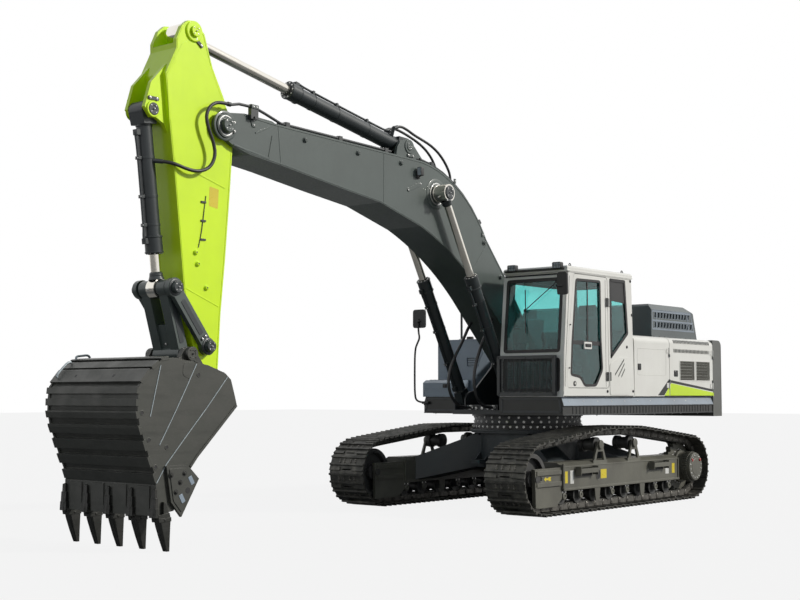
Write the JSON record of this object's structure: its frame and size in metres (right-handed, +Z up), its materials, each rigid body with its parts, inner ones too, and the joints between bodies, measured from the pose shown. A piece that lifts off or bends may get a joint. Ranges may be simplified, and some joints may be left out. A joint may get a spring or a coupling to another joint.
{
  "type": "crawler excavator",
  "caption": "Tracked excavator with a slewing cab and engine house, a two-part boom and arm, and a toothed bucket, driven by hydraulic cylinders.",
  "frame": {"origin": "on the ground, under the slew axis", "axes": "+X forward to the boom and bucket, +Y left to the cab, +Z up"},
  "size_m": [11.188, 3.354, 5.474],
  "materials": {
    "track_steel": "worn",
    "frame_grey": "semi-gloss",
    "bearing_black": "satin",
    "charcoal": "satin",
    "counterweight_brown": "semi-gloss",
    "engine_iron": "matte",
    "cover_grey": "semi-gloss",
    "cab_white": "gloss",
    "tinted_glass": "clear",
    "hose_rubber": "matte",
    "seat_fabric": "woven",
    "tank_silver": "satin",
    "boom_green_grey": "semi-gloss",
    "rod_chrome": "polished",
    "arm_lime": "gloss",
    "bucket_brown": "worn"
  },
  "bodies": {
    "undercarriage": {"track_frames": "frame_grey", "tracks": "track_steel", "idlers": "frame_grey", "final_drives": "frame_grey", "track_rollers": "frame_grey", "car_body": "frame_grey", "slew_ring_outer": "bearing_black"},
    "upperstructure": {"revolving_frame": "charcoal", "side_decks": "charcoal", "counterweight": "counterweight_brown", "engine": "engine_iron", "engine_cover": "cover_grey", "hydraulic_tank": "tank_silver", "cab_shell": "cab_white", "cab_roof": "cab_white", "cab_glass": "tinted_glass", "operator_seat": "seat_fabric", "control_consoles": "charcoal", "front_guard": "charcoal", "fuel_tank": "tank_silver", "tool_box": "tank_silver", "mirrors": "charcoal", "roof_lamps": "charcoal", "tank_rail": "charcoal", "boom_hose_left": "hose_rubber", "boom_hose_right": "hose_rubber"},
    "cab_door": {"cab_door": "cab_white", "cab_door_glass": "tinted_glass"},
    "side_door_front": {"side_door_front": "cab_white"},
    "side_door_rear": {"side_door_rear": "cab_white"},
    "side_door_right": {"side_door_right": "cab_white"},
    "engine_hood": {"engine_hood": "cover_grey"},
    "tool_box_lid": {"tool_box_lid": "tank_silver"},
    "boom": {"boom": "boom_green_grey", "boom_pipes": "boom_green_grey", "boom_lamp": "charcoal", "arm_cylinder_hose_left": "hose_rubber", "arm_cylinder_hose_right": "hose_rubber", "bucket_hose": "hose_rubber"},
    "boom_cylinder_barrel": {"boom_cylinder_barrel": "boom_green_grey"},
    "boom_cylinder_rod": {"boom_cylinder_rod": "rod_chrome"},
    "arm_cylinder_barrel": {"arm_cylinder_barrel": "boom_green_grey"},
    "arm_cylinder_rod": {"arm_cylinder_rod": "rod_chrome"},
    "arm": {"arm": "arm_lime"},
    "bucket_cylinder_barrel": {"bucket_cylinder_barrel": "boom_green_grey"},
    "bucket_cylinder_rod": {"bucket_cylinder_rod": "rod_chrome"},
    "rocker_links": {"rocker_links": "boom_green_grey"},
    "connecting_link": {"connecting_link": "boom_green_grey"},
    "bucket": {"bucket": "bucket_brown", "bucket_teeth": "bucket_brown"}
  },
  "joints": [
    {"name": "slew", "type": "hinge", "parent": "undercarriage", "child": "upperstructure", "pos_m": [0, 0, 1.1], "axis": [0, 0, 1], "continuous": true},
    {"name": "cab_door_hinge", "type": "hinge", "parent": "upperstructure", "child": "cab_door", "pos_m": [0.262, 1.507, 2.2], "axis": [0, 0, 1], "range_deg": [0, 110]},
    {"name": "side_door_front_hinge", "type": "hinge", "parent": "upperstructure", "child": "side_door_front", "pos_m": [-1.444, 1.506, 1.9], "axis": [0, 0, 1], "range_deg": [0, 120]},
    {"name": "side_door_rear_hinge", "type": "hinge", "parent": "upperstructure", "child": "side_door_rear", "pos_m": [-2.835, 1.506, 1.9], "axis": [0, 0, 1], "range_deg": [0, 120]},
    {"name": "side_door_right_hinge", "type": "hinge", "parent": "upperstructure", "child": "side_door_right", "pos_m": [-2.835, -1.506, 1.9], "axis": [0, 0, -1], "range_deg": [0, 120]},
    {"name": "engine_hood_hinge", "type": "hinge", "parent": "upperstructure", "child": "engine_hood", "pos_m": [-1.291, 0.175, 2.363], "axis": [0, 1, 0], "range_deg": [0, 65]},
    {"name": "tool_box_lid_hinge", "type": "hinge", "parent": "upperstructure", "child": "tool_box_lid", "pos_m": [0.165, -1.198, 1.737], "axis": [0, -1, 0], "range_deg": [0, 75]},
    {"name": "boom_lift", "type": "hinge", "parent": "upperstructure", "child": "boom", "pos_m": [0.22, 0, 1.95], "axis": [0, -1, 0], "range_deg": [-65, 35], "deforming": ["boom_hose_left", "boom_hose_right"]},
    {"name": "boom_cylinder_swing", "type": "hinge", "parent": "upperstructure", "child": "boom_cylinder_barrel", "pos_m": [1, 0, 1.45], "axis": [0, -1, 0], "range_deg": [-69.16, 37.24]},
    {"name": "boom_cylinder_stroke", "type": "slide", "parent": "boom_cylinder_barrel", "child": "boom_cylinder_rod", "axis": [0.4883, 0, 0.8727], "range_m": [-0.881, 0.4744]},
    {"name": "arm_swing", "type": "hinge", "parent": "boom", "child": "arm", "pos_m": [6.191, 0, 4.4], "axis": [0, -1, 0], "range_deg": [-30, 85], "deforming": ["bucket_hose"]},
    {"name": "arm_cylinder_swing", "type": "hinge", "parent": "boom", "child": "arm_cylinder_barrel", "pos_m": [2.883, 0, 4.672], "axis": [0, -1, 0], "range_deg": [-2.55, 0.9], "deforming": ["arm_cylinder_hose_left", "arm_cylinder_hose_right"]},
    {"name": "arm_cylinder_stroke", "type": "slide", "parent": "arm_cylinder_barrel", "child": "arm_cylinder_rod", "axis": [0.9834, 0, 0.1812], "range_m": [-1.3496, 0.4763]},
    {"name": "bucket_curl", "type": "hinge", "parent": "arm", "child": "bucket", "pos_m": [6.325, 0, 1.69], "axis": [0, -1, 0], "range_deg": [-160, 6]},
    {"name": "bucket_cylinder_swing", "type": "hinge", "parent": "arm", "child": "bucket_cylinder_barrel", "pos_m": [7.095, 0, 4.447], "axis": [0, -1, 0], "range_deg": [-0.17, 4.48]},
    {"name": "bucket_cylinder_stroke", "type": "slide", "parent": "bucket_cylinder_barrel", "child": "bucket_cylinder_rod", "axis": [-0.1218, 0, -0.9926], "range_m": [-0.0469, 1.2511]},
    {"name": "rocker_swing", "type": "hinge", "parent": "arm", "child": "rocker_links", "pos_m": [6.405, 0, 2.018], "axis": [0, -1, 0], "range_deg": [-115.2, 4.32]},
    {"name": "connecting_link_swing", "type": "hinge", "parent": "bucket", "child": "connecting_link", "pos_m": [6.665, 0, 1.933], "axis": [0, -1, 0], "range_deg": [-3.42, 91.2]}
  ],
  "couplings": [
    {"joint": "boom_cylinder_swing", "follows": "boom_lift", "ratio": 1.064},
    {"joint": "boom_cylinder_stroke", "follows": "boom_lift", "m_per_rad": 0.7766},
    {"joint": "arm_cylinder_swing", "follows": "arm_swing", "ratio": -0.03},
    {"joint": "arm_cylinder_stroke", "follows": "arm_swing", "m_per_rad": -0.90975},
    {"joint": "bucket_cylinder_swing", "follows": "bucket_curl", "ratio": -0.028},
    {"joint": "bucket_cylinder_stroke", "follows": "bucket_curl", "m_per_rad": -0.448},
    {"joint": "rocker_swing", "follows": "bucket_curl", "ratio": 0.72},
    {"joint": "connecting_link_swing", "follows": "bucket_curl", "ratio": -0.57}
  ]
}
